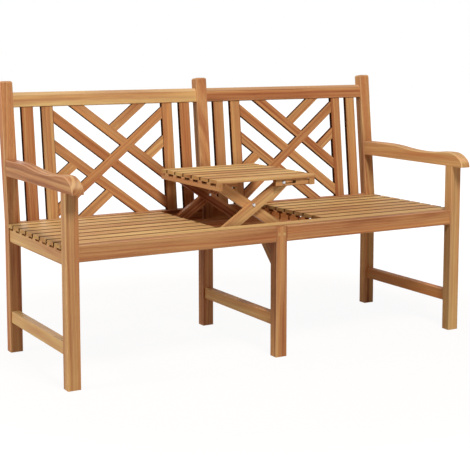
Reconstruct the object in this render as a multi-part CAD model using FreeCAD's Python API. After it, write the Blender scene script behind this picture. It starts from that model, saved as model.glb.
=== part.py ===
import FreeCAD, Part
import math
import os

# Companion seat bench: two slatted seats in one frame with a table between them.
# The table stands raised on two scissor pairs and folds down flush with the seats.
# X runs along the bench, Y from front to back and Z up, all in millimetres.
# While it is modelled, Y is 0 at the front faces of the end legs.

# Overall sizes
bench_length = 1500.0
bench_height = 900.0
seat_height = 433.0
arm_rise = 157.5
knee_rise = 3.0
post_setback = 500.0
lean_angle = 6.13

# Legs, posts and the edges of all boards
leg_width = 42.0
leg_depth = 36.0
tip_radius = 8.0
edge_ease = 1.5

# Rails and stretchers
rail_thickness = 27.0
rail_setback = 5.0
front_rail_height = 50.0
side_rail_height = 48.0
side_rail_inset = 5.0
rear_rail_height = 61.0
rear_rail_setback = 3.0
stretcher_height = 39.0
stretcher_lift = 101.0

# Tenons and their mortises
tenon_length = 12.0
tenon_shoulder = 8.0
slat_tenon_length = 8.0
slat_tenon_shoulder = 3.0
joint_clearance = 0.15

# Seat slats, with a gap behind the legs and before the posts
slat_thickness = 12.0
slat_width = 50.0
slat_gap = 10.0
slat_start_gap = 5.0
slat_end_gap = 2.0
notch_width = 36.0
notch_depth = 8.0

# Opening for the table and the bearers at its sides
opening_left = -192.5
opening_right = 222.0
bearer_thickness = 20.0
bearer_groove_width = 10.0
bearer_groove_reach = 12.0
bearer_groove_height = 22.0

# Table
table_rise = 151.5
table_left = -188.0
table_right = 192.0
batten_thickness = 21.0
batten_height = 23.0
slide_rail_margin = 32.0
pivot_block_length = 92.0

# Scissor links: pin centres, outline about the line of the pins, and layers along Y
raise_angle = 33.8
arm_difference = 18.0
link_width = 34.0
link_nose = 9.5
link_heel_cut = 6.0
link_thickness = 18.0
layer_gap = 0.5
front_layer_margin = 8.0
rear_layer_margin = 18.0
pin_depth = 10.5
fold_gap = 1.5

# Pins and bolts of the lift
pin_radius = 4.0
rod_radius = 6.0
running_clearance = 0.05
slot_clearance = 0.3
slot_end_gap = 1.0
bolt_head_radius = 6.5
bolt_crown_radius = 4.5
bolt_head_height = 3.0

# Frame boards of the lift and the brace below them
lift_board_height = 24.0
slot_ear_margin = 9.0
pivot_ear_length = 26.0
brace_width = 32.0
brace_catch = 7.0

# Arms
arm_width = 38.0
arm_inset = 2.0
arm_reach = 50.0
arm_nose_run = 71.0
arm_nose_rise = 49.0
arm_nose_turn = 50.0
arm_dip = 9.0
arm_dip_place = 170.0
arm_swell_place = 400.0
arm_swell_rise = 4.0
arm_rear_drop = 1.0
arm_bevel = 3.0
arm_peg_inset = 10.0
arm_peg_length = 15.0

# Back: top rail, slats and lattice, measured along the lean from the knee
post_tip_reach = 37.5
top_rail_height = 49.0
top_rail_thickness = 28.0
top_rail_setback = 5.0
top_rail_bevel_height = 11.0
top_rail_bevel_depth = 8.0
back_slat_width = 42.0
back_slat_gap = 28.0
back_slat_thickness = 15.0
back_slat_setback = 9.0
lattice_bar_width = 32.0
lattice_bar_angle = 38.0
lattice_pitch = 100.6
lattice_drop = 2.5
lap_clearance = 0.1

# Wood plugs over the fixings of the front rails
plug_radius = 5.5
plug_proud = 0.6
plug_spacing = 19.0
plug_depth = 4.0

# Heights and faces that follow from the sizes above
arm_height = seat_height + arm_rise
knee_height = seat_height + knee_rise
table_height = seat_height + table_rise
half_length = bench_length / 2
half_leg = leg_width / 2
slat_underside = seat_height - slat_thickness
side_rail_bottom = slat_underside - side_rail_height
side_rail_outer = half_length - side_rail_inset
side_rail_inner = side_rail_outer - rail_thickness
front_rail_bottom = seat_height - front_rail_height
front_rail_rear = rail_setback + rail_thickness
middle_leg_rear = rail_setback + leg_depth
rear_rail_bottom = knee_height - rear_rail_height
rear_rail_front = post_setback + rear_rail_setback
bay_inner = half_leg
bay_outer = half_length - leg_width
bay_centre = (bay_inner + bay_outer) / 2
lean_sine = math.sin(math.radians(lean_angle))
lean_cosine = math.cos(math.radians(lean_angle))
tip_drop = tip_radius * (1 - lean_sine - lean_cosine)
post_length = (bench_height - knee_height - tip_drop) / lean_cosine
top_rail_lift = post_length - post_tip_reach - top_rail_height
lattice_field = bay_outer - bay_inner - 4 * (back_slat_width + back_slat_gap)
lattice_centre = top_rail_lift / 2 - lattice_drop

# Travel of the scissor, from raised at rest to folded flush
raise_sine = math.sin(math.radians(raise_angle))
raise_cosine = math.cos(math.radians(raise_angle))
table_travel = table_height - seat_height
pin_span = table_travel / raise_sine
lower_arm = (pin_span + arm_difference) / 2
upper_arm = (pin_span - arm_difference) / 2
fold_shift = arm_difference * (1 - raise_cosine)
table_underside = table_height - slat_thickness
batten_bottom = table_underside - batten_height
batten_inner_left = table_left + batten_thickness
batten_inner_right = table_right - batten_thickness
upper_pin_height = table_underside - pin_depth
lower_pin_height = upper_pin_height - table_travel
frame_pivot_x = batten_inner_left + fold_shift + fold_gap + link_nose
centre_pin_x = frame_pivot_x + lower_arm * raise_cosine
centre_pin_height = lower_pin_height + lower_arm * raise_sine
table_pivot_x = centre_pin_x - upper_arm * raise_cosine
outer_slide_x = frame_pivot_x + pin_span * raise_cosine
outer_slide_folded_x = frame_pivot_x + pin_span - fold_shift
inner_slide_x = centre_pin_x + lower_arm * raise_cosine
inner_slide_folded_x = frame_pivot_x + 2 * lower_arm
lift_board_bottom = side_rail_bottom
lift_board_top = lift_board_bottom + lift_board_height

sides = (("left", -1), ("right", 1))
pieces = {}
mortises = {}


def vec(x, y, z):
    return FreeCAD.Vector(x, y, z)


def block(spans):
    """Plain box between three (low, high) pairs."""
    sizes = [high - low for low, high in spans]
    corner = vec(*[low for low, high in spans])
    return Part.makeBox(sizes[0], sizes[1], sizes[2], corner)


def board(spans, axis):
    """Box with its four edges along one axis eased."""
    solid = block(spans)
    sizes = [high - low for low, high in spans]
    across = [sizes[i] for i in range(3) if i != axis]
    ease = min(edge_ease, 0.3 * min(across))
    edges = [edge for edge in solid.Edges if abs(edge.tangentAt(0)[axis]) > 0.9]
    return solid.makeChamfer(ease, edges)


def prism(points, axis, low, high):
    """Polygon through points in the plane square to an axis, drawn out between two places."""
    corners = []
    for first, second in points:
        place = [first, second]
        place.insert(axis, low)
        corners.append(vec(*place))
    face = Part.Face(Part.makePolygon(corners + [corners[0]]))
    reach = [0.0, 0.0, 0.0]
    reach[axis] = high - low
    return face.extrude(vec(*reach))


def rod(x, z, y_low, y_high, radius):
    return Part.makeCylinder(radius, y_high - y_low, vec(x, y_low, z), vec(0, 1, 0))


def long_hole(x_low, x_high, z, y_low, y_high, radius):
    """Slot with round ends along X, between two hole centres."""
    middle = block([(x_low, x_high), (y_low, y_high), (z - radius, z + radius)])
    ends = [rod(x, z, y_low, y_high, radius) for x in (x_low, x_high)]
    return middle.fuse(ends).removeSplitter()


def lean(shape):
    """Turn a piece of the back from upright to its lean about the knee of the posts."""
    leaning = shape.copy()
    leaning.rotate(vec(0, post_setback, knee_height), vec(1, 0, 0), -lean_angle)
    return leaning


def clear_of_rear_rail(shape):
    """Cut the foot of a leaning board level with the top of the rear rail."""
    below = [(-half_length, half_length), (0, bench_length), (0, knee_height)]
    return shape.cut(block(below))


def back_block(x, depth, height):
    """Spans of a piece of the back, given from the post's front face and from the knee."""
    along_y = (post_setback + depth[0], post_setback + depth[1])
    along_z = (knee_height + height[0], knee_height + height[1])
    return [x, along_y, along_z]


def post_face(z):
    """Y of the leaning front face of a rear post at a height above the knee."""
    return post_setback + (z - knee_height) * math.tan(math.radians(lean_angle))


def cut_later(name, tool):
    mortises.setdefault(name, []).append(tool)


def tenon_spans(spans, axis, at_high_end, length, shoulder):
    result = []
    for i, (low, high) in enumerate(spans):
        if i != axis:
            result.append((low + shoulder, high - shoulder))
        elif at_high_end:
            result.append((high, high + length))
        else:
            result.append((low - length, low))
    return result


def grown(spans, margin):
    return [(low - margin, high + margin) for low, high in spans]


def tenoned_board(spans, axis, low_host, high_host):
    """Board between two hosts, with a tenon into each; the mortises are cut when all is made."""
    solid = board(spans, axis)
    for host, at_high_end in ((low_host, False), (high_host, True)):
        tenon = tenon_spans(spans, axis, at_high_end, tenon_length, tenon_shoulder)
        solid = solid.fuse(block(tenon))
        cut_later(host, block(grown(tenon, joint_clearance)))
    return solid


def slat_rows():
    """Low and high Y of each row of seat slats; the last row is cut to fit before the posts."""
    rows = []
    low = leg_depth + slat_start_gap
    limit = post_setback - slat_end_gap
    while low + slat_gap < limit:
        rows.append((low, min(low + slat_width, limit)))
        low += slat_width + slat_gap
    return rows


rows = slat_rows()
table_rows = rows[1:]
table_front = table_rows[0][0]
table_rear = table_rows[-1][1]
first_layer = table_front + front_layer_margin
last_layer = table_rear - rear_layer_margin


def row_notches(x, top, row_list):
    """Notches across the top of a bearer, one centred under each slat."""
    cuts = []
    for low, high in row_list:
        centre = low + slat_width / 2
        y = (centre - notch_width / 2, min(centre + notch_width / 2, high))
        cuts.append(block([x, y, (top - notch_depth, top + notch_depth)]))
    return cuts


def side_span(sign, inner, outer):
    return tuple(sorted((sign * inner, sign * outer)))


def make_front_legs():
    for side, sign in sides:
        x = side_span(sign, bay_outer, half_length)
        leg = board([x, (0, leg_depth), (0, arm_height)], 2)
        inset = arm_peg_inset
        peg = [(x[0] + inset, x[1] - inset), (inset, leg_depth - inset), (arm_height, arm_height + arm_peg_length)]
        pieces[side + "_front_leg"] = leg.fuse(block(peg))
        cut_later(side + "_arm", block(grown(peg, joint_clearance)))
    spans = [(-half_leg, half_leg), (rail_setback, middle_leg_rear), (0, seat_height)]
    leg = board(spans, 2)
    rebate = [(-leg_width, leg_width), (front_rail_rear, middle_leg_rear + slat_width), (slat_underside, seat_height)]
    pieces["middle_front_leg"] = leg.cut(block(rebate))


def make_rear_post(x):
    """Upright below the knee and leaning above it, with a tip rounded over on all sides."""
    depth = (post_setback, post_setback + leg_depth)
    overlap = leg_depth
    lower = board([x, depth, (0, knee_height + overlap)], 2)
    upper_spans = back_block(x, (0, leg_depth), (-overlap, post_length))
    upper = board(upper_spans, 2)
    blank = block(upper_spans)
    tip_edges = [edge for edge in blank.Edges if edge.CenterOfMass.z > knee_height + post_length - 1]
    upper = upper.common(blank.makeFillet(tip_radius, tip_edges))
    # The two halves meet on the plane that halves the bend
    reach = bench_height
    tilt = math.tan(math.radians(lean_angle / 2))
    near = (post_setback - reach, knee_height + reach * tilt)
    far = (post_setback + reach, knee_height - reach * tilt)
    above = prism([near, far, (far[0], far[1] + reach), (near[0], near[1] + reach)], 0, x[0] - 1, x[1] + 1)
    below = prism([near, far, (far[0], far[1] - reach), (near[0], near[1] - reach)], 0, x[0] - 1, x[1] + 1)
    return lower.common(below).fuse(lean(upper).common(above))


def make_rear_posts():
    pieces["left_rear_post"] = make_rear_post(side_span(-1, bay_outer, half_length))
    pieces["middle_rear_post"] = make_rear_post((-half_leg, half_leg))
    pieces["right_rear_post"] = make_rear_post(side_span(1, bay_outer, half_length))


def bay_hosts(side, kind):
    """Names of the uprights at the low and the high X end of a bay."""
    outer = side + "_" + kind
    middle = "middle_" + kind
    return (outer, middle) if side == "left" else (middle, outer)


def make_long_rails():
    for side, sign in sides:
        x = side_span(sign, bay_inner, bay_outer)
        front = [x, (rail_setback, front_rail_rear), (front_rail_bottom, seat_height)]
        pieces[side + "_front_rail"] = tenoned_board(front, 0, *bay_hosts(side, "front_leg"))
        rear = [x, (rear_rail_front, rear_rail_front + rail_thickness), (rear_rail_bottom, knee_height)]
        pieces[side + "_rear_rail"] = tenoned_board(rear, 0, *bay_hosts(side, "rear_post"))


def make_side_rails():
    for side, sign in sides:
        x = side_span(sign, side_rail_inner, side_rail_outer)
        hosts = (side + "_front_leg", side + "_rear_post")
        rail = [x, (leg_depth, post_setback), (side_rail_bottom, slat_underside)]
        solid = tenoned_board(rail, 1, *hosts)
        pieces[side + "_side_rail"] = solid.cut(row_notches(x, slat_underside, rows))
        low = [x, (leg_depth, post_setback), (stretcher_lift, stretcher_lift + stretcher_height)]
        pieces[side + "_stretcher"] = tenoned_board(low, 1, *hosts)
    x = (-rail_thickness / 2, rail_thickness / 2)
    low = [x, (middle_leg_rear, post_setback), (stretcher_lift, stretcher_lift + stretcher_height)]
    pieces["middle_stretcher"] = tenoned_board(low, 1, "middle_front_leg", "middle_rear_post")


def make_bearers():
    """Boards along both sides of the table's opening, grooved on its side and notched under the slats."""
    for side, face, way in (("left", opening_left, -1), ("right", opening_right, 1)):
        x = tuple(sorted((face, face + way * bearer_thickness)))
        groove_x = tuple(sorted((face - way, face + way * bearer_groove_reach)))
        spans = [x, (front_rail_rear, rear_rail_front), (front_rail_bottom, slat_underside)]
        solid = board(spans, 1)
        for host, at_high_end in ((side + "_front_rail", False), (side + "_rear_rail", True)):
            tenon = tenon_spans(spans, 1, at_high_end, slat_tenon_length, tenon_shoulder - 1)
            solid = solid.fuse(block(tenon))
            cut_later(host, block(grown(tenon, joint_clearance)))
        cuts = row_notches(x, slat_underside, rows)
        groove_bottom = slat_underside - notch_depth - bearer_groove_height
        for low, high in rows:
            centre = low + slat_width / 2
            y = (centre - bearer_groove_width / 2, min(centre + bearer_groove_width / 2, high))
            cuts.append(block([groove_x, y, (groove_bottom, slat_underside)]))
        pieces[side + "_bearer"] = solid.cut(cuts)


def seat_slat(x, row):
    return board([x, row, (slat_underside, seat_height)], 0)


def make_seat_slats():
    pieces["front_seat_slat"] = seat_slat((-half_length, half_length), rows[0])
    left = [seat_slat((-half_length, opening_left), row) for row in rows[1:]]
    right = [seat_slat((opening_right, half_length), row) for row in rows[1:]]
    pieces["left_seat_slats"] = Part.makeCompound(left)
    pieces["right_seat_slats"] = Part.makeCompound(right)


def easing_arc(start, run, rise):
    """Arc that leaves a point level and ends a run along Y and a rise along Z from it."""
    radius = (run ** 2 + rise ** 2) / (2 * abs(rise))
    turn = math.asin(abs(run) / radius)
    middle_run = math.copysign(radius * math.sin(turn / 2), run)
    middle_rise = math.copysign(radius * (1 - math.cos(turn / 2)), rise)
    return Part.Arc(start, start + vec(0, middle_run, middle_rise), start + vec(0, run, rise)).toShape()


def nose_arcs(front):
    """Two tangent arcs from an upright start at the arm's nose to its level crest."""
    turn = math.radians(arm_nose_turn)
    cosine = math.cos(turn)
    sine = math.sin(turn)
    growth = (arm_nose_run - arm_nose_rise) / (cosine + sine - 1)
    small = arm_nose_run - growth * cosine
    large = small + growth
    first_centre = front + vec(0, small, 0)
    second_centre = first_centre + vec(0, growth * cosine, -growth * sine)

    def on_arc(centre, radius, angle):
        return centre + vec(0, -radius * math.cos(angle), radius * math.sin(angle))

    joint = on_arc(first_centre, small, turn)
    crest = second_centre + vec(0, 0, large)
    first = Part.Arc(front, on_arc(first_centre, small, turn / 2), joint)
    second = Part.Arc(joint, on_arc(second_centre, large, (turn + math.pi / 2) / 2), crest)
    return [first.toShape(), second.toShape()]


def arm_outline():
    """Side view of an arm: a rounded nose, a dip for the forearm and a swell before the post."""
    crest_z = arm_height + arm_nose_rise
    front = vec(0, -arm_reach, arm_height)
    crest = vec(0, arm_nose_run - arm_reach, crest_z)
    dip = vec(0, arm_dip_place, crest_z - arm_dip)
    swell = vec(0, arm_swell_place, crest_z + arm_swell_rise)
    rear_z = swell.z - arm_rear_drop
    rear_top = vec(0, post_face(rear_z), rear_z)
    rear_bottom = vec(0, post_face(arm_height), arm_height)
    edges = nose_arcs(front)
    for high, low in ((crest, dip), (swell, dip)):
        run = (low.y - high.y) / 2
        fall = (high.z - low.z) / 2
        edges.append(easing_arc(high, run, -fall))
        edges.append(easing_arc(low, -run, fall))
    edges.append(easing_arc(swell, rear_top.y - swell.y, -arm_rear_drop))
    edges.append(Part.makeLine(rear_top, rear_bottom))
    edges.append(Part.makeLine(rear_bottom, front))
    return Part.Face(Part.Wire(Part.__sortEdges__(edges)))


def make_arms():
    for side, sign in sides:
        outer = half_length - arm_inset
        x = side_span(sign, outer - arm_width, outer)
        face = arm_outline()
        face.translate(vec(x[0], 0, 0))
        arm = face.extrude(vec(arm_width, 0, 0))
        rear_z = arm_height + arm_nose_rise + arm_swell_rise - arm_rear_drop
        # The long edges are bevelled; those at the sole and against the post stay sharp
        soft = [edge for edge in arm.Edges
                if edge.CenterOfMass.z > arm_height + 1 and edge.BoundBox.XLength < 0.01
                and edge.BoundBox.YLength > 0.3 * edge.BoundBox.ZLength]
        arm = arm.makeChamfer(arm_bevel, soft)
        y = post_face(arm_height)
        spans = [x, (0, y), (arm_height, rear_z)]
        tenon = tenon_spans(spans, 1, True, tenon_length, tenon_shoulder)
        tenon[1] = (y - tenon_length, y + tenon_length)
        pieces[side + "_arm"] = arm.fuse(block(tenon))
        cut_later(side + "_rear_post", block(grown(tenon, joint_clearance)))


def make_top_rails():
    depth = (top_rail_setback, top_rail_setback + top_rail_thickness)
    for side, sign in sides:
        x = side_span(sign, bay_inner, bay_outer)
        spans = back_block(x, depth, (top_rail_lift, top_rail_lift + top_rail_height))
        solid = board(spans, 0)
        y_front = spans[1][0]
        z_top = spans[2][1]
        bevel = [(y_front - 1, z_top - top_rail_bevel_height - 1), (y_front - 1, z_top + 1),
                 (y_front + top_rail_bevel_depth, z_top + 1), (y_front + top_rail_bevel_depth, z_top),
                 (y_front, z_top - top_rail_bevel_height)]
        solid = solid.cut(prism(bevel, 0, x[0] - 1, x[1] + 1))
        for host, at_high_end in zip(bay_hosts(side, "rear_post"), (False, True)):
            tenon = tenon_spans(spans, 0, at_high_end, tenon_length, tenon_shoulder)
            tenon[2] = (tenon[2][0], tenon[2][1] - tenon_shoulder)
            solid = solid.fuse(block(tenon))
            cut_later(host, lean(block(grown(tenon, joint_clearance))))
        pieces[side + "_top_rail"] = lean(solid)


def make_back_slats():
    """Two upright slats at each side of a bay, housed in the rear rail and the top rail."""
    depth = (back_slat_setback, back_slat_setback + back_slat_thickness)
    border = lattice_field / 2
    plain = border + back_slat_width + back_slat_gap
    for side, sign in sides:
        middle = sign * bay_centre
        starts = [-plain - back_slat_width, -border - back_slat_width, border, plain]
        for number, start in enumerate(starts, 1):
            x = (middle + start, middle + start + back_slat_width)
            spans = back_block(x, depth, (0, top_rail_lift))
            solid = clear_of_rear_rail(lean(board(spans, 2)))
            for host, at_high_end in (("_rear_rail", False), ("_top_rail", True)):
                tenon = tenon_spans(spans, 2, at_high_end, slat_tenon_length, slat_tenon_shoulder)
                # The lower tenon also runs up into the slat, whose foot is cut level
                if not at_high_end:
                    tenon[2] = (tenon[2][0], tenon[2][1] + slat_tenon_length)
                solid = solid.fuse(lean(block(tenon)))
                cut_later(side + host, lean(block(grown(tenon, joint_clearance))))
            pieces[side + "_back_slat_" + str(number)] = solid


def lattice_bar(middle, lift, rising):
    """Bar through the bay at a slope, cut off by the top rail, the rear rail and the border slats."""
    angle = math.radians(lattice_bar_angle)
    reach = lattice_field + top_rail_lift
    along = (math.cos(angle), math.sin(angle) if rising else -math.sin(angle))
    across = (-along[1] * lattice_bar_width / 2, along[0] * lattice_bar_width / 2)
    corners = []
    for end, edge in ((-1, -1), (1, -1), (1, 1), (-1, 1)):
        x = middle + end * along[0] * reach + edge * across[0]
        z = knee_height + lift + end * along[1] * reach + edge * across[1]
        corners.append((x, z))
    y_front = post_setback + back_slat_setback
    bar = prism(corners, 1, y_front, y_front + back_slat_thickness)
    field = back_block((middle - lattice_field / 2, middle + lattice_field / 2),
                       (0, leg_depth), (0, top_rail_lift))
    return bar.common(block(field))


def halved(bar, crossing, front):
    """Cut half the thickness out of a bar where another crosses it."""
    middle = post_setback + back_slat_setback + back_slat_thickness / 2
    if front:
        y = (middle - lap_clearance / 2 - back_slat_thickness, middle + lap_clearance / 2)
    else:
        y = (middle - lap_clearance / 2, middle + lap_clearance / 2 + back_slat_thickness)
    box = crossing.BoundBox
    half_space = block([(box.XMin - 1, box.XMax + 1), y, (box.ZMin - 1, box.ZMax + 1)])
    return bar.cut(crossing.common(half_space))


def make_lattices():
    slope = math.tan(math.radians(lattice_bar_angle))
    for side, sign in sides:
        middle = sign * bay_centre
        lifts = {"upper": lattice_centre + lattice_pitch, "middle": lattice_centre,
                 "lower": lattice_centre - lattice_pitch}
        falling = {name: lattice_bar(middle, lift, False) for name, lift in lifts.items()}
        rising = lattice_bar(middle, lattice_centre, True)
        for name, bar in falling.items():
            pieces[side + "_lattice_" + name + "_bar"] = clear_of_rear_rail(lean(halved(bar, rising, True)))
        cross = rising
        for bar in falling.values():
            cross = halved(cross, bar, False)
        pieces[side + "_lattice_cross_bar"] = clear_of_rear_rail(lean(cross))
        # Short pieces carry the other two rising lines on, but only outside the falling bars
        stubs = []
        for name in ("upper", "lower"):
            line = lattice_bar(middle, lifts[name], True)
            parts = line.cut(list(falling.values())).Solids
            for part in parts:
                centre = part.CenterOfMass
                middle_line = knee_height + lattice_centre - (centre.x - middle) * slope
                if abs(centre.z - middle_line) > lattice_pitch:
                    stubs.append(clear_of_rear_rail(lean(part)))
        pieces[side + "_lattice_stubs"] = Part.makeCompound(stubs)


def link_outline(y_low, lower_hole, middle_hole, upper_hole):
    """Link lying along X with its first pin at the origin and the pin line near its upper edge."""
    heel = link_width - link_nose
    edges = []
    corners = []
    # The nose is round about the pin above, and square with its corner cut off below
    for x_pin, way in ((0.0, -1), (pin_span, 1)):
        tip = x_pin + way * link_nose
        nose = (vec(x_pin, 0, link_nose),
                vec(x_pin + way * link_nose * math.sqrt(0.5), 0, link_nose * math.sqrt(0.5)),
                vec(tip, 0, 0))
        high = vec(tip, 0, link_heel_cut - heel)
        low = vec(tip - way * link_heel_cut, 0, -heel)
        edges.append(Part.Arc(*nose).toShape())
        edges.append(Part.makeLine(nose[2], high))
        edges.append(Part.makeLine(high, low))
        corners.append((nose[0], low))
    (left_top, left_low), (right_top, right_low) = corners
    edges.append(Part.makeLine(left_low, right_low))
    edges.append(Part.makeLine(left_top, right_top))
    face = Part.Face(Part.Wire(Part.__sortEdges__(edges)))
    face.translate(vec(0, y_low, 0))
    link = face.extrude(vec(0, link_thickness, 0))
    y_high = y_low + link_thickness
    holes = [rod(x, 0, y_low - 1, y_high + 1, radius)
             for x, radius in ((0.0, lower_hole), middle_hole, (pin_span, upper_hole))]
    return link.cut(holes)


def bolt(x, z, y_head, y_end):
    """Bolt with a tapered head whose flat side is at y_head and whose shank runs to y_end."""
    way = 1 if y_head > y_end else -1
    seat = vec(x, y_head, z)
    head = Part.makeCone(bolt_head_radius, bolt_crown_radius, bolt_head_height, seat, vec(0, way, 0))
    shank = rod(x, z, min(y_head, y_end), max(y_head, y_end), pin_radius)
    return head.fuse(shank)


def layer_faces(rear):
    """Low Y of the four layers of a scissor pair, from its outer face inwards."""
    step = link_thickness + layer_gap
    if rear:
        start = last_layer - link_thickness
        return [start - step * i for i in range(4)]
    return [first_layer + step * i for i in range(4)]


def make_links():
    """Outer links rise to the right, inner links fall to the right; both end pairs stay level."""
    running_hole = pin_radius + running_clearance
    slide_pins = []
    pivot_pins = []
    for place, rear in (("front", False), ("rear", True)):
        outer_board, outer_link, inner_link, inner_board = layer_faces(rear)
        outer = link_outline(outer_link, running_hole, (lower_arm, pin_radius), pin_radius)
        outer.rotate(vec(0, 0, 0), vec(0, 1, 0), -raise_angle)
        outer.translate(vec(frame_pivot_x, 0, lower_pin_height))
        pieces[place + "_outer_link"] = outer
        inner = link_outline(inner_link, rod_radius, (upper_arm, running_hole), pin_radius)
        inner.rotate(vec(0, 0, 0), vec(0, 1, 0), raise_angle)
        inner.translate(vec(table_pivot_x, 0, upper_pin_height))
        pieces[place + "_inner_link"] = inner
        # Heads stand outside the boards and shanks end flush, so that the pins pass when folded
        if rear:
            outer_head = outer_board + link_thickness + layer_gap
            outer_end = outer_link
            centre_head = outer_link + link_thickness
            centre_end = inner_link
            inner_head = inner_board - layer_gap
            inner_end = inner_link + link_thickness
        else:
            outer_head = outer_board - layer_gap
            outer_end = outer_link + link_thickness
            centre_head = outer_link
            centre_end = inner_link + link_thickness
            inner_head = inner_board + link_thickness + layer_gap
            inner_end = inner_link
        bolts = [bolt(outer_slide_x, upper_pin_height, outer_head, outer_end),
                 bolt(centre_pin_x, centre_pin_height, centre_head, centre_end)]
        pieces[place + "_outer_link_bolts"] = Part.makeCompound(bolts)
        slide_pins.append(bolt(inner_slide_x, lower_pin_height, inner_head, inner_end))
        pivot_head = outer_board + link_thickness if rear else outer_board
        pivot_pins.append(bolt(frame_pivot_x, lower_pin_height, pivot_head, outer_end))
    pieces["inner_link_slide_pins"] = Part.makeCompound(slide_pins)
    pieces["frame_pivot_pins"] = Part.makeCompound(pivot_pins)
    front_end = layer_faces(False)[2]
    rear_end = layer_faces(True)[2] + link_thickness
    pieces["cross_rod"] = rod(table_pivot_x, upper_pin_height, front_end, rear_end, rod_radius)


def make_lift_boards():
    """Boards between the bearers: one pair holds the pivots, the other the lower slots."""
    pivot_boards = []
    slot_boards = []
    x = (opening_left, opening_right)
    ear_top = lower_pin_height + link_nose
    for rear in (False, True):
        faces = layer_faces(rear)
        y = (faces[0], faces[0] + link_thickness)
        ear_left = frame_pivot_x - link_nose
        ear = block([(ear_left, ear_left + pivot_ear_length), y, (lift_board_bottom, lower_pin_height)])
        crown = block([(frame_pivot_x, ear_left + pivot_ear_length), y, (lift_board_bottom, ear_top)])
        nose = rod(frame_pivot_x, lower_pin_height, y[0], y[1], link_nose)
        plank = block([x, y, (lift_board_bottom, lift_board_top)])
        solid = plank.fuse([ear, crown, nose]).removeSplitter()
        pivot_boards.append(solid.cut(rod(frame_pivot_x, lower_pin_height, y[0] - 1, y[1] + 1, pin_radius)))
        y = (faces[3], faces[3] + link_thickness)
        slot_low = inner_slide_x - slot_end_gap
        slot_high = inner_slide_folded_x + slot_end_gap
        ear_x = (slot_low - pin_radius - slot_ear_margin, slot_high + pin_radius + slot_ear_margin)
        ear = board([ear_x, y, (lift_board_bottom, ear_top)], 1)
        plank = block([x, y, (lift_board_bottom, lift_board_top)])
        slot = long_hole(slot_low, slot_high, lower_pin_height, y[0] - 1, y[1] + 1, pin_radius + slot_clearance)
        slot_boards.append(plank.fuse(ear).removeSplitter().cut(slot))
    pieces["lift_pivot_boards"] = Part.makeCompound(pivot_boards)
    pieces["lift_slot_boards"] = Part.makeCompound(slot_boards)


def make_table():
    x = (table_left, table_right)
    slats = [board([x, row, (table_underside, table_height)], 0) for row in table_rows]
    pieces["table_slats"] = Part.makeCompound(slats)
    z = (batten_bottom, table_underside)
    for side, batten_x in (("left", (table_left, batten_inner_left)), ("right", (batten_inner_right, table_right))):
        batten = board([batten_x, (table_front, table_rear), z], 1)
        pieces[side + "_table_batten"] = batten.cut(row_notches(batten_x, table_underside, table_rows))
    slide_rails = []
    pivot_blocks = []
    for rear in (False, True):
        faces = layer_faces(rear)
        y = (faces[0], faces[0] + link_thickness)
        rail = board([(outer_slide_x - slide_rail_margin, batten_inner_right), y, z], 0)
        slot = long_hole(outer_slide_x - slot_end_gap, outer_slide_folded_x + slot_end_gap, upper_pin_height,
                         y[0] - 1, y[1] + 1, pin_radius + slot_clearance)
        slide_rails.append(rail.cut(slot))
        y = (faces[3], faces[3] + link_thickness)
        block_piece = board([(batten_inner_left, batten_inner_left + pivot_block_length), y, z], 0)
        hole = rod(table_pivot_x, upper_pin_height, y[0] - 1, y[1] + 1, rod_radius + running_clearance)
        pivot_blocks.append(block_piece.cut(hole))
    pieces["table_slide_rails"] = Part.makeCompound(slide_rails)
    pieces["table_pivot_blocks"] = Part.makeCompound(pivot_blocks)


def make_knee_brace():
    """Gusset from the middle front leg to under the first board of the lift."""
    run = first_layer + brace_catch - middle_leg_rear
    corner = (middle_leg_rear, lift_board_bottom)
    low = (middle_leg_rear, lift_board_bottom - run)
    far = (middle_leg_rear + run, lift_board_bottom)
    pieces["knee_brace"] = prism([corner, low, far], 0, -brace_width / 2, brace_width / 2)


def make_plugs():
    z = (front_rail_bottom + seat_height) / 2
    plugs = []
    for x in (-plug_spacing / 2, plug_spacing / 2):
        hole = rod(x, z, rail_setback, rail_setback + plug_depth, plug_radius)
        plugs.append(rod(x, z, rail_setback - plug_proud, rail_setback + plug_depth, plug_radius))
        cut_later("middle_front_leg", hole)
    pieces["wood_plugs"] = Part.makeCompound(plugs)


def cut_mortises():
    for name, tools in mortises.items():
        pieces[name] = pieces[name].cut(tools)


def centre_and_export():
    """Move the origin to the middle of the footprint and write one file for each node."""
    whole = Part.makeCompound(list(pieces.values()))
    box = whole.optimalBoundingBox(False, False)
    shift = vec(-box.Center.x, -box.Center.y, -box.ZMin)
    os.makedirs("parts", exist_ok=True)
    for name, shape in pieces.items():
        shape.translate(shift)
        shape.exportStep("parts/" + name + ".step")
        if not shape.isValid():
            print("not valid:", name)
    print("pieces", len(pieces), "shift", shift, "size", box.XLength, box.YLength, box.ZLength)


make_front_legs()
make_rear_posts()
make_long_rails()
make_side_rails()
make_bearers()
make_seat_slats()
make_arms()
make_top_rails()
make_back_slats()
make_lattices()
make_links()
make_lift_boards()
make_table()
make_knee_brace()
make_plugs()
cut_mortises()
centre_and_export()
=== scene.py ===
import bpy
import math
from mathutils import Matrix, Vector

# Looks of the companion seat bench: oiled teak boards and bright steel bolts.
# All lengths are in metres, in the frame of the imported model.

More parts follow.
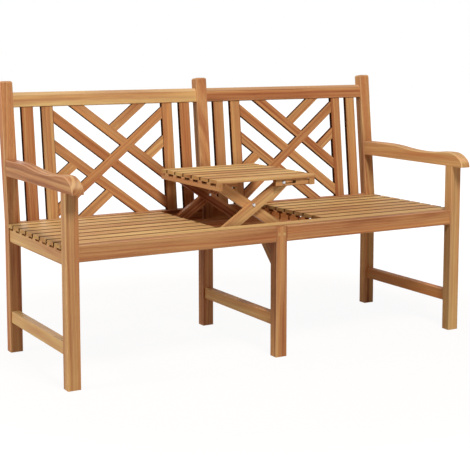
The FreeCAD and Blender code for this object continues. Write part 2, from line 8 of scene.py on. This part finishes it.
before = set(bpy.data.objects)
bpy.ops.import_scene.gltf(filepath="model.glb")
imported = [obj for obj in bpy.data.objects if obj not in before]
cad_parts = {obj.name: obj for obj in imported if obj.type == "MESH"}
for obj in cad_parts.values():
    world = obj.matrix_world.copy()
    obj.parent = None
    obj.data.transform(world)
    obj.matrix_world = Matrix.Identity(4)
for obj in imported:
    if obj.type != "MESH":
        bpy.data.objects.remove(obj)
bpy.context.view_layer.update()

# Camera at the viewing angle of the photograph, whose frame is square
IMAGE_SIDE = 470
FOCAL_PIXELS = 1147.2
SENSOR_WIDTH = 36.0
CAMERA_PLACE = (-1.9857, -3.3614, 1.0248)
CAMERA_YAW = 30.279
CAMERA_PITCH = 6.514
CAMERA_SHIFT = -0.13

# Shape of the bench that the grain follows
LEAN_ANGLE = 6.13
BAR_ANGLE = 38.0
LINK_ANGLE = 33.8
SLAT_PITCH = 0.060
FIRST_SLAT = -0.226453
TABLE_MIDDLE = 0.0320
TABLE_INNER_REACH = 0.180

# Light that the surroundings and the floor throw into the shadows. The sky grows brighter from the
# horizon up to directions whose upward part is SKY_FULL_HEIGHT.
WARM_SKY = (1.0, 0.93, 0.87, 1.0)
SKY_AT_HORIZON = 0.03
SKY_OVERHEAD = 0.34
SKY_FULL_HEIGHT = 0.8
FLOOR_PAINT = (0.36, 0.30, 0.25, 1.0)

# Floor as the camera sees it. Up to SHADOW_NEAR from the middle of the bench it glows white in
# part, and the rest keeps the shadow. From SHADOW_FAR on it is plain white.
WHITE = (1.0, 1.0, 1.0, 1.0)
FLOOR_HALF = 14.0
FLOOR_GLOW = 1.14
FLOOR_WHITE_PART = 0.82
SHADOW_NEAR = 0.9
SHADOW_FAR = 2.2

# Lamps: name, place, the point they face, side of the square and power in watts
LAMPS = (("key", (-0.40, -2.75, 4.05), (0, 0, 0.45), 1.2, 155.0),
         ("fill", (-3.70, 0.20, 1.50), (0, 0, 0.45), 0.8, 66.0),
         ("low_fill", (0.75, -4.60, 0.28), (0, 0, 0.28), 0.5, 38.0),
         ("back_fill", (0.10, 4.40, 2.00), (0, 0, 0.60), 1.6, 46.0))

# Colours of the wood, from pale sapwood streaks to dark late wood, and the tints laid over them
TEAK_STOPS = ((0.00, (0.790, 0.575, 0.255)),
              (0.28, (0.645, 0.408, 0.162)),
              (0.52, (0.505, 0.270, 0.112)),
              (0.76, (0.352, 0.146, 0.057)),
              (1.00, (0.172, 0.055, 0.021)))
BLUSH = (0.94, 0.56, 0.42, 1.0)
END_GRAIN = (0.50, 0.42, 0.34, 1.0)
RUBBED_EDGE = (0.82, 0.60, 0.36, 1.0)
# Painted shade, laid on the narrow sides of slats and bars
PAINTED_SIDE_SHADE = (0.14, 0.07, 0.04, 1.0)

# How far rings, fibres, clouds, flames and pores move the colour between pale and dark, and how
# strongly the tints show
RING_STRENGTH = 0.72
FIBRE_STRENGTH = 0.44
CLOUD_STRENGTH = 0.62
FLAME_STRENGTH = 0.20
PORE_STRENGTH = 0.10
BLUSH_STRENGTH = 1.25
END_GRAIN_STRENGTH = 0.35
RUBBED_STRENGTH = 0.22

# Noises of the figure: waves per metre along the grain and across it, detail, and roughness
WARP_NOISE = ((1.1, 7.0, 7.0), 2.0)
FIBRE_NOISE = ((6.0, 380.0, 380.0), 3.0, 0.65)
PORE_NOISE = ((42.0, 1700.0, 1700.0), 1.0)
CLOUD_NOISE = ((2.0, 13.0, 13.0), 1.0)
FLAME_NOISE = ((1.7, 21.0, 21.0), 2.0, 0.6)
BLUSH_NOISE = ((1.4, 48.0, 48.0), 1.0)
RING_DETAIL = 3.0
RING_NOISE_ROUGHNESS = 0.55

# Spans over which flames and pores set in, and over which a side counts as end grain (by its part
# along the grain), as an eased edge (by its largest part) or as a narrow side (by its part across)
FLAME_SPAN = (0.60, 0.72)
PORE_SPAN = (0.60, 0.74)
END_SPAN = (0.75, 0.95)
EDGE_SPAN = (0.93, 0.80)
SIDE_SPAN = (0.30, 0.62)

# How a board lies in its log: rings per metre, how little they change along it, how far apart the
# boards are cut, how far they lie from the heart, and how far the grain bends
RINGS_PER_METRE = 115.0
RING_TAPER = (0.035, 1.0, 1.0)
LOG_THROW = (9.0, 0.26, 0.20)
LOG_OFFSET = (0, 0.05, 0.12)
GRAIN_BEND = (0, 0.034, 0.034)

# Seeds of the boards. The slats of one node differ in seed and tone, and a slat's row begins a
# little before its first side.
SEED_STEP = 1.37
ROW_SEED_STEP = 2.9
ROW_TONE_SPREAD = 0.24
ROW_MARGIN = 0.05

# Gloss of the wood, less in boards with painted shade on their sides, and its roughness where it is
# bare and where it has painted shade
WOOD_SHINE = 0.14
SHADED_SIDES_SHINE = 0.05
WOOD_ROUGHNESS = 0.42
FIBRE_ROUGHNESS = 0.22
END_ROUGHNESS = 0.15
SHADED_SIDE_ROUGHNESS = 0.45

# Relief of the wood: strength and depth of the whole, and how much rings and pores count beside
# the fibres
WOOD_BUMP = (0.35, 0.0006)
RING_RELIEF = 0.5
PORE_DEPTH = 0.8

# Steel: darker and paler grey of each kind, roughness, relief and noises
BRIGHT_STEEL = (0.42, 0.66)
PLAIN_STEEL = (0.14, 0.26)
STEEL_ROUGHNESS = 0.16
SCUFF_ROUGHNESS = 0.30
STEEL_BUMP = (0.15, 0.0002)
SCUFF_NOISE = ((900.0, 900.0, 900.0), 4.0, 0.7)
DULL_NOISE = ((120.0, 120.0, 120.0), 2.0)


def add(tree, kind, inputs=None, **settings):
    """New node, whose inputs, by name or number, are linked to sockets or set to values."""
    made = tree.nodes.new(kind)
    for name, value in settings.items():
        setattr(made, name, value)
    for key, value in (inputs or {}).items():
        if isinstance(value, bpy.types.NodeSocket):
            tree.links.new(value, made.inputs[key])
        else:
            made.inputs[key].default_value = value
    return made


def math_node(tree, operation, first, second=0.0, third=0.0, clamp=False):
    """Result of an operation on numbers."""
    return add(tree, "ShaderNodeMath", {0: first, 1: second, 2: third},
               operation=operation, use_clamp=clamp).outputs[0]


def vector_node(tree, operation, first, second=(0, 0, 0)):
    """Result of an operation on vectors, which is a number for a dot product or a length."""
    made = add(tree, "ShaderNodeVectorMath", {0: first, 1: second}, operation=operation)
    return made.outputs["Value" if operation in ("DOT_PRODUCT", "LENGTH") else "Vector"]


def centred(tree, value, strength, base, clamp=False):
    """Adds to a base how far a value between 0 and 1 lies from its middle, times a strength."""
    off = math_node(tree, "SUBTRACT", value, 0.5)
    return math_node(tree, "MULTIPLY_ADD", off, strength, base, clamp)


def ramp_between(tree, value, low, high, to_low=0.0, to_high=1.0, **settings):
    """Maps a value from the span low to high to another span, and holds it at both ends."""
    spans = {"Value": value, "From Min": low, "From Max": high, "To Min": to_low, "To Max": to_high}
    return add(tree, "ShaderNodeMapRange", spans, **settings).outputs[0]


def blend(tree, factor, first, second, kind="MIX"):
    """Colour between two others, or with MULTIPLY the first one tinted by the second."""
    return add(tree, "ShaderNodeMix", {"Factor": factor, "A": first, "B": second},
               data_type="RGBA", blend_type=kind).outputs["Result"]


def seen_directly(tree):
    """1 for rays from the camera, a glossy surface or glass, and 0 for light on matt surfaces."""
    ray = add(tree, "ShaderNodeLightPath").outputs
    mirrored = math_node(tree, "MAXIMUM", ray["Is Glossy Ray"], ray["Is Transmission Ray"])
    return math_node(tree, "MAXIMUM", ray["Is Camera Ray"], mirrored)


def new_group(name, inputs, outputs):
    """Empty node group with sockets given as (name, kind) pairs."""
    tree = bpy.data.node_groups.new(name, "ShaderNodeTree")
    for label, kind in inputs:
        tree.interface.new_socket(label, in_out="INPUT", socket_type="NodeSocket" + kind)
    for label, kind in outputs:
        tree.interface.new_socket(label, in_out="OUTPUT", socket_type="NodeSocket" + kind)
    return tree, tree.nodes.new("NodeGroupInput").outputs, tree.nodes.new("NodeGroupOutput").inputs


def along_grain_group():
    """Turns a vector so that the grain of a board runs along X."""
    tree, given, result = new_group(
        "along_grain",
        (("Vector", "Vector"), ("Grain", "Vector"), ("Across", "Vector")),
        (("Vector", "Vector"),))
    third = vector_node(tree, "CROSS_PRODUCT", given["Grain"], given["Across"])
    parts = [vector_node(tree, "DOT_PRODUCT", given["Vector"], axis)
             for axis in (given["Grain"], given["Across"], third)]
    joined = add(tree, "ShaderNodeCombineXYZ", {0: parts[0], 1: parts[1], 2: parts[2]})
    tree.links.new(joined.outputs[0], result["Vector"])
    return tree


def noise(tree, vector, scale, detail, roughness=0.5):
    """Noise over a vector whose three directions are scaled apart."""
    scaled = vector_node(tree, "MULTIPLY", vector, scale)
    return add(tree, "ShaderNodeTexNoise",
               {"Vector": scaled, "Scale": 1.0, "Detail": detail, "Roughness": roughness}).outputs


def white_noise(tree, seed):
    """Random value and colour that depend on the seed alone."""
    return add(tree, "ShaderNodeTexWhiteNoise", {"W": seed}, noise_dimensions="1D").outputs


def off_middle(tree, colour, reach):
    """Shift by a random colour, up to half the reach to either side."""
    off = vector_node(tree, "SUBTRACT", colour, (0.5, 0.5, 0.5))
    return vector_node(tree, "MULTIPLY", off, reach)


def teak_group():
    """Figure of teak: year rings, fibres and pores, drawn through the whole board."""
    tree, given, result = new_group(
        "teak_figure",
        (("Position", "Vector"), ("Normal", "Vector"), ("Seed", "Float"), ("Tone", "Float"),
         ("Warmth", "Float"), ("Painted Side Shade", "Float")),
        (("Color", "Color"), ("Roughness", "Float"), ("Height", "Float")))
    # Each board is cut from its own place in its own log
    throw = off_middle(tree, white_noise(tree, given["Seed"])["Color"], LOG_THROW)
    place = vector_node(tree, "ADD", given["Position"], throw)
    place = vector_node(tree, "ADD", place, LOG_OFFSET)
    warp = noise(tree, place, *WARP_NOISE)["Color"]
    wood = vector_node(tree, "ADD", place, off_middle(tree, warp, GRAIN_BEND))
    radius = vector_node(tree, "LENGTH", vector_node(tree, "MULTIPLY", wood, RING_TAPER))
    turns = math_node(tree, "MULTIPLY", radius, RINGS_PER_METRE)
    rings = add(tree, "ShaderNodeTexNoise",
                {"W": turns, "Scale": 1.0, "Detail": RING_DETAIL,
                 "Roughness": RING_NOISE_ROUGHNESS}, noise_dimensions="1D").outputs[0]
    fibres = noise(tree, wood, *FIBRE_NOISE)[0]
    pores = noise(tree, place, *PORE_NOISE)[0]
    clouds = noise(tree, place, *CLOUD_NOISE)[0]
    flames = noise(tree, wood, *FLAME_NOISE)[0]
    flame_mask = ramp_between(tree, flames, *FLAME_SPAN)
    pore_mask = ramp_between(tree, pores, *PORE_SPAN)
    # Where the colour stands between pale and dark
    figure = centred(tree, rings, RING_STRENGTH, given["Tone"])
    figure = centred(tree, fibres, FIBRE_STRENGTH, figure)
    figure = centred(tree, clouds, CLOUD_STRENGTH, figure)
    figure = math_node(tree, "MULTIPLY_ADD", flame_mask, FLAME_STRENGTH, figure)
    figure = math_node(tree, "MULTIPLY_ADD", pore_mask, PORE_STRENGTH, figure, clamp=True)
    ramp = add(tree, "ShaderNodeValToRGB", {0: figure})
    stops = ramp.color_ramp.elements
    while len(stops) < len(TEAK_STOPS):
        stops.new(0.5)
    for stop, (at, colour) in zip(stops, TEAK_STOPS):
        stop.position = at
        stop.color = (*colour, 1.0)
    # Redder and more golden streaks lie side by side in one board
    blush = noise(tree, wood, *BLUSH_NOISE)[0]
    warmth = centred(tree, blush, BLUSH_STRENGTH, given["Warmth"], clamp=True)
    colour = blend(tree, warmth, ramp.outputs[0], BLUSH, "MULTIPLY")
    # End grain drinks more oil and darkens; the eased edges are rubbed a little paler
    normal = vector_node(tree, "ABSOLUTE", given["Normal"])
    facing = add(tree, "ShaderNodeSeparateXYZ", {0: normal}).outputs
    end = ramp_between(tree, facing[0], *END_SPAN)
    flattest = math_node(tree, "MAXIMUM", facing[1], facing[2])
    flattest = math_node(tree, "MAXIMUM", facing[0], flattest)
    edge = ramp_between(tree, flattest, *EDGE_SPAN)
    soaked = math_node(tree, "MULTIPLY", end, END_GRAIN_STRENGTH)
    rubbed = math_node(tree, "MULTIPLY", edge, RUBBED_STRENGTH)
    colour = blend(tree, soaked, colour, END_GRAIN, "MULTIPLY")
    colour = blend(tree, rubbed, colour, RUBBED_EDGE)
    # Painted shade darkens the narrow sides of slats, where the gaps between them lie in shade, and
    # dulls them
    side = ramp_between(tree, facing[1], *SIDE_SPAN)
    side_shade_mask = math_node(tree, "MULTIPLY", side, given["Painted Side Shade"])
    colour = blend(tree, side_shade_mask, colour, PAINTED_SIDE_SHADE, "MULTIPLY")
    roughness = math_node(tree, "MULTIPLY_ADD", fibres, FIBRE_ROUGHNESS, WOOD_ROUGHNESS)
    roughness = math_node(tree, "MULTIPLY_ADD", end, END_ROUGHNESS, roughness)
    roughness = math_node(tree, "MULTIPLY_ADD", side_shade_mask, SHADED_SIDE_ROUGHNESS, roughness, clamp=True)
    height = math_node(tree, "MULTIPLY_ADD", rings, RING_RELIEF, fibres)
    height = math_node(tree, "MULTIPLY_ADD", pore_mask, -PORE_DEPTH, height)
    tree.links.new(colour, result["Color"])
    tree.links.new(roughness, result["Roughness"])
    tree.links.new(height, result["Height"])
    return tree


along_grain = along_grain_group()
teak_figure = teak_group()


def new_material(name):
    """Material with an empty node tree."""
    made = bpy.data.materials.new(name)
    made.use_nodes = True
    made.node_tree.nodes.clear()
    return made, made.node_tree


def teak(name, grain, across, seed, tone, warmth, side_shade, rows=False, unshaded_rim=False):
    """Teak with its grain along one direction, and painted shade on its sides square to another.
    In rows, each slat of a node is a board of its own.
    An unshaded rim leaves the two outermost sides of the table's slats without painted shade."""
    made, tree = new_material(name)
    place = add(tree, "ShaderNodeTexCoord").outputs
    turned = [add(tree, "ShaderNodeGroup", {"Vector": place[kind]}, node_tree=along_grain)
              for kind in ("Object", "Normal")]
    for turn in turned:
        turn.inputs["Grain"].default_value = grain
        turn.inputs["Across"].default_value = across
    figure = add(tree, "ShaderNodeGroup", node_tree=teak_figure)
    figure.inputs["Seed"].default_value = seed
    figure.inputs["Tone"].default_value = tone
    figure.inputs["Warmth"].default_value = warmth
    figure.inputs["Painted Side Shade"].default_value = side_shade
    tree.links.new(turned[0].outputs[0], figure.inputs["Position"])
    tree.links.new(turned[1].outputs[0], figure.inputs["Normal"])
    if rows:
        y = add(tree, "ShaderNodeSeparateXYZ", {0: place["Object"]}).outputs[1]
        first_row = ROW_MARGIN - FIRST_SLAT / SLAT_PITCH
        row = math_node(tree, "MULTIPLY_ADD", y, 1 / SLAT_PITCH, first_row)
        row = math_node(tree, "FLOOR", row)
        own_seed = math_node(tree, "MULTIPLY_ADD", row, ROW_SEED_STEP, seed)
        own_tone = centred(tree, white_noise(tree, own_seed)["Value"], ROW_TONE_SPREAD, tone)
        tree.links.new(own_seed, figure.inputs["Seed"])
        tree.links.new(own_tone, figure.inputs["Tone"])
        if unshaded_rim:
            reach = math_node(tree, "SUBTRACT", y, TABLE_MIDDLE)
            reach = math_node(tree, "ABSOLUTE", reach)
            inner = math_node(tree, "LESS_THAN", reach, TABLE_INNER_REACH)
            own_side_shade = math_node(tree, "MULTIPLY", inner, side_shade)
            tree.links.new(own_side_shade, figure.inputs["Painted Side Shade"])
    bump = add(tree, "ShaderNodeBump", {"Strength": WOOD_BUMP[0], "Distance": WOOD_BUMP[1],
                                        "Height": figure.outputs["Height"]})
    surface = add(tree, "ShaderNodeBsdfPrincipled",
                  {"Base Color": figure.outputs["Color"], "Roughness": figure.outputs["Roughness"],
                   "Specular IOR Level": SHADED_SIDES_SHINE if side_shade else WOOD_SHINE,
                   "Normal": bump.outputs[0]})
    add(tree, "ShaderNodeOutputMaterial", {"Surface": surface.outputs[0]})
    return made


def steel(name, dark, pale):
    """Steel with fine scuffs and a brightness that drifts between two greys."""
    made, tree = new_material(name)
    place = add(tree, "ShaderNodeTexCoord").outputs["Object"]
    scuffs = noise(tree, place, *SCUFF_NOISE)[0]
    dull = noise(tree, place, *DULL_NOISE)[0]
    shade = blend(tree, dull, (dark, dark, dark, 1.0), (pale, pale, pale, 1.0))
    roughness = math_node(tree, "MULTIPLY_ADD", scuffs, SCUFF_ROUGHNESS, STEEL_ROUGHNESS)
    bump = add(tree, "ShaderNodeBump",
               {"Strength": STEEL_BUMP[0], "Distance": STEEL_BUMP[1], "Height": scuffs})
    surface = add(tree, "ShaderNodeBsdfPrincipled",
                  {"Base Color": shade, "Metallic": 1.0, "Roughness": roughness,
                   "Normal": bump.outputs[0]})
    add(tree, "ShaderNodeOutputMaterial", {"Surface": surface.outputs[0]})
    return made


# Directions of the grain
lean = math.radians(LEAN_ANGLE)
bar = math.radians(BAR_ANGLE)
link = math.radians(LINK_ANGLE)
ALONG = Vector((1, 0, 0))
DEEP = Vector((0, 1, 0))
UP = Vector((0, 0, 1))
BACK_UP = Vector((0, math.sin(lean), math.cos(lean)))
BACK_OUT = Vector((0, math.cos(lean), -math.sin(lean)))
BAR_FALLING = ALONG * math.cos(bar) - BACK_UP * math.sin(bar)
BAR_RISING = ALONG * math.cos(bar) + BACK_UP * math.sin(bar)
LINK_RISING = ALONG * math.cos(link) + UP * math.sin(link)
LINK_FALLING = ALONG * math.cos(link) - UP * math.sin(link)
BRACE = (DEEP + UP).normalized()

# Part of a node's name, direction of its grain, direction square to its narrow sides, tone from
# pale 0 to dark 1, warmth, and painted shade on the narrow sides. The first row that fits a name is
# taken.
BOARDS = (
    ("left_front_leg", UP, ALONG, 0.46, 0.25, 0.0),
    ("middle_front_leg", UP, ALONG, 0.54, 0.38, 0.0),
    ("right_front_leg", UP, ALONG, 0.40, 0.15, 0.0),
    ("left_rear_post", UP, ALONG, 0.58, 0.40, 0.0),
    ("middle_rear_post", UP, ALONG, 0.59, 0.35, 0.0),
    ("right_rear_post", UP, ALONG, 0.43, 0.42, 0.0),
    ("left_front_rail", ALONG, DEEP, 0.62, 0.26, 0.0),
    ("right_front_rail", ALONG, DEEP, 0.60, 0.33, 0.0),
    # Darker, redder tone: painted shade, as the rear rail lies in shade under the table
    ("rear_rail", ALONG, DEEP, 0.64, 0.55, 0.0),
    ("side_rail", DEEP, ALONG, 0.45, 0.20, 0.0),
    ("left_stretcher", DEEP, ALONG, 0.27, 0.10, 0.0),
    ("middle_stretcher", DEEP, ALONG, 0.28, 0.55, 0.0),
    ("right_stretcher", DEEP, ALONG, 0.27, 0.85, 0.0),
    # Pale tone: painted light, where light from the left falls on the bearer under the table
    ("right_bearer", DEEP, ALONG, 0.14, 0.95, 0.0),
    ("left_bearer", DEEP, ALONG, 0.56, 0.45, 0.0),
    ("front_seat_slat", ALONG, DEEP, 0.36, 0.00, 0.5),
    ("right_seat_slats", ALONG, DEEP, 0.33, 0.14, 0.85),
    ("left_seat_slats", ALONG, DEEP, 0.33, 0.00, 0.8),
    ("table_slats", ALONG, DEEP, 0.36, 0.12, 0.8),
    ("table_batten", DEEP, ALONG, 0.42, 0.25, 0.0),
    ("left_arm", DEEP, ALONG, 0.62, 0.24, 0.0),
    ("right_arm", DEEP, ALONG, 0.41, 0.32, 0.0),
    ("left_top_rail", ALONG, UP, 0.33, 0.02, 0.0),
    ("right_top_rail", ALONG, UP, 0.60, 0.30, 0.0),
    ("left_back_slat_1", BACK_UP, ALONG, 0.62, 0.45, 1.0),
    ("left_back_slat_2", BACK_UP, ALONG, 0.48, 0.25, 1.0),
    ("back_slat", BACK_UP, ALONG, 0.54, 0.35, 1.0),
    ("lattice_cross_bar", BAR_RISING, BACK_OUT.cross(BAR_RISING), 0.51, 0.35, 0.9),
    ("lattice_stubs", BAR_RISING, BACK_OUT.cross(BAR_RISING), 0.46, 0.30, 0.9),
    ("lattice", BAR_FALLING, BACK_OUT.cross(BAR_FALLING), 0.55, 0.35, 0.9),
    # The rear links take darker, redder tones: painted shade, as they lie in shade under the table
    ("rear_outer_link", LINK_RISING, DEEP, 0.62, 0.50, 0.0),
    ("front_outer_link", LINK_RISING, DEEP, 0.40, 0.12, 0.0),
    ("rear_inner_link", LINK_FALLING, DEEP, 0.68, 0.60, 0.0),
    ("front_inner_link", LINK_FALLING, DEEP, 0.46, 0.25, 0.0),
    # Painted shade on the top and bottom faces of the other table parts, such as the slide rails,
    # which darkens their slots
    ("table_", ALONG, UP, 0.46, 0.30, 0.9),
    ("lift_", ALONG, UP, 0.60, 0.50, 0.0),
    ("cross_rod", DEEP, UP, 0.40, 0.15, 0.0),
    ("knee_brace", BRACE, ALONG, 0.52, 0.30, 0.0),
    ("wood_plugs", DEEP, UP, 0.12, 0.00, 0.0),
)


def dress_frame():
    """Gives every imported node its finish."""
    bright = steel("bright_steel", *BRIGHT_STEEL)
    plain = steel("plain_steel", *PLAIN_STEEL)
    for seed, (name, piece) in enumerate(sorted(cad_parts.items()), 1):
        if name.endswith("bolts"):
            finish = bright
        elif name.endswith("pins"):
            finish = plain
        else:
            row = next(row for row in BOARDS if row[0] in name)
            grain, across, tone, warmth, side_shade = row[1:]
            finish = teak("teak_" + name, grain, across, seed * SEED_STEP, tone, warmth, side_shade,
                          rows=name.endswith("slats"), unshaded_rim=name == "table_slats")
        for holder in piece.material_slots:
            holder.material = finish


def make_floor():
    """Wide floor that the camera sees as white, with a part of the shadow near the bench."""
    mesh = bpy.data.meshes.new("floor")
    corners = [(x * FLOOR_HALF, y * FLOOR_HALF, 0)
               for x, y in ((-1, -1), (1, -1), (1, 1), (-1, 1))]
    mesh.from_pydata(corners, [], [(0, 1, 2, 3)])
    floor = bpy.data.objects.new("floor", mesh)
    bpy.context.scene.collection.objects.link(floor)
    made, tree = new_material("floor_paint")
    distance = vector_node(tree, "LENGTH", add(tree, "ShaderNodeTexCoord").outputs["Object"])
    white_part = ramp_between(tree, distance, SHADOW_NEAR, SHADOW_FAR, FLOOR_WHITE_PART, 1.0,
                              interpolation_type="SMOOTHSTEP")
    paint = add(tree, "ShaderNodeBsdfDiffuse", {"Color": FLOOR_PAINT})
    white = add(tree, "ShaderNodeEmission", {"Color": WHITE, "Strength": FLOOR_GLOW})
    share = math_node(tree, "MULTIPLY", seen_directly(tree), white_part)
    surface = add(tree, "ShaderNodeMixShader", {0: share, 1: paint.outputs[0], 2: white.outputs[0]})
    add(tree, "ShaderNodeOutputMaterial", {"Surface": surface.outputs[0]})
    mesh.materials.append(made)


def area_light(name, place, target, side, power):
    """Square lamp that faces a point."""
    lamp = bpy.data.lights.new(name, "AREA")
    lamp.shape = "SQUARE"
    lamp.size = side
    lamp.energy = power
    holder = bpy.data.objects.new(name, lamp)
    bpy.context.scene.collection.objects.link(holder)
    holder.location = place
    aim = Vector(target) - Vector(place)
    holder.rotation_euler = aim.to_track_quat("-Z", "Y").to_euler()


def make_light():
    """Dim warm sky, brightest overhead, and the lamps."""
    world = bpy.data.worlds.new("studio")
    bpy.context.scene.world = world
    world.use_nodes = True
    tree = world.node_tree
    tree.nodes.clear()
    seen = seen_directly(tree)
    direction = add(tree, "ShaderNodeTexCoord").outputs["Generated"]
    height = add(tree, "ShaderNodeSeparateXYZ", {0: direction}).outputs[2]
    dome = ramp_between(tree, height, 0.0, SKY_FULL_HEIGHT, SKY_AT_HORIZON, SKY_OVERHEAD)
    colour = blend(tree, seen, WARM_SKY, WHITE)
    strength = math_node(tree, "MAXIMUM", dome, seen)
    sky = add(tree, "ShaderNodeBackground", {"Color": colour, "Strength": strength})
    add(tree, "ShaderNodeOutputWorld", {"Surface": sky.outputs[0]})
    for lamp in LAMPS:
        area_light(*lamp)


def make_camera():
    """Camera at the photograph's angle, with the small shift that its framing needs."""
    lens = bpy.data.cameras.new("camera")
    lens.sensor_width = SENSOR_WIDTH
    lens.lens = FOCAL_PIXELS / IMAGE_SIDE * SENSOR_WIDTH
    lens.shift_y = CAMERA_SHIFT
    holder = bpy.data.objects.new("camera", lens)
    bpy.context.scene.collection.objects.link(holder)
    holder.location = CAMERA_PLACE
    holder.rotation_euler = (math.radians(90 - CAMERA_PITCH), 0, math.radians(-CAMERA_YAW))
    bpy.context.scene.camera = holder


make_camera()
dress_frame()
make_floor()
make_light()
bpy.context.scene.view_settings.view_transform = "Standard"
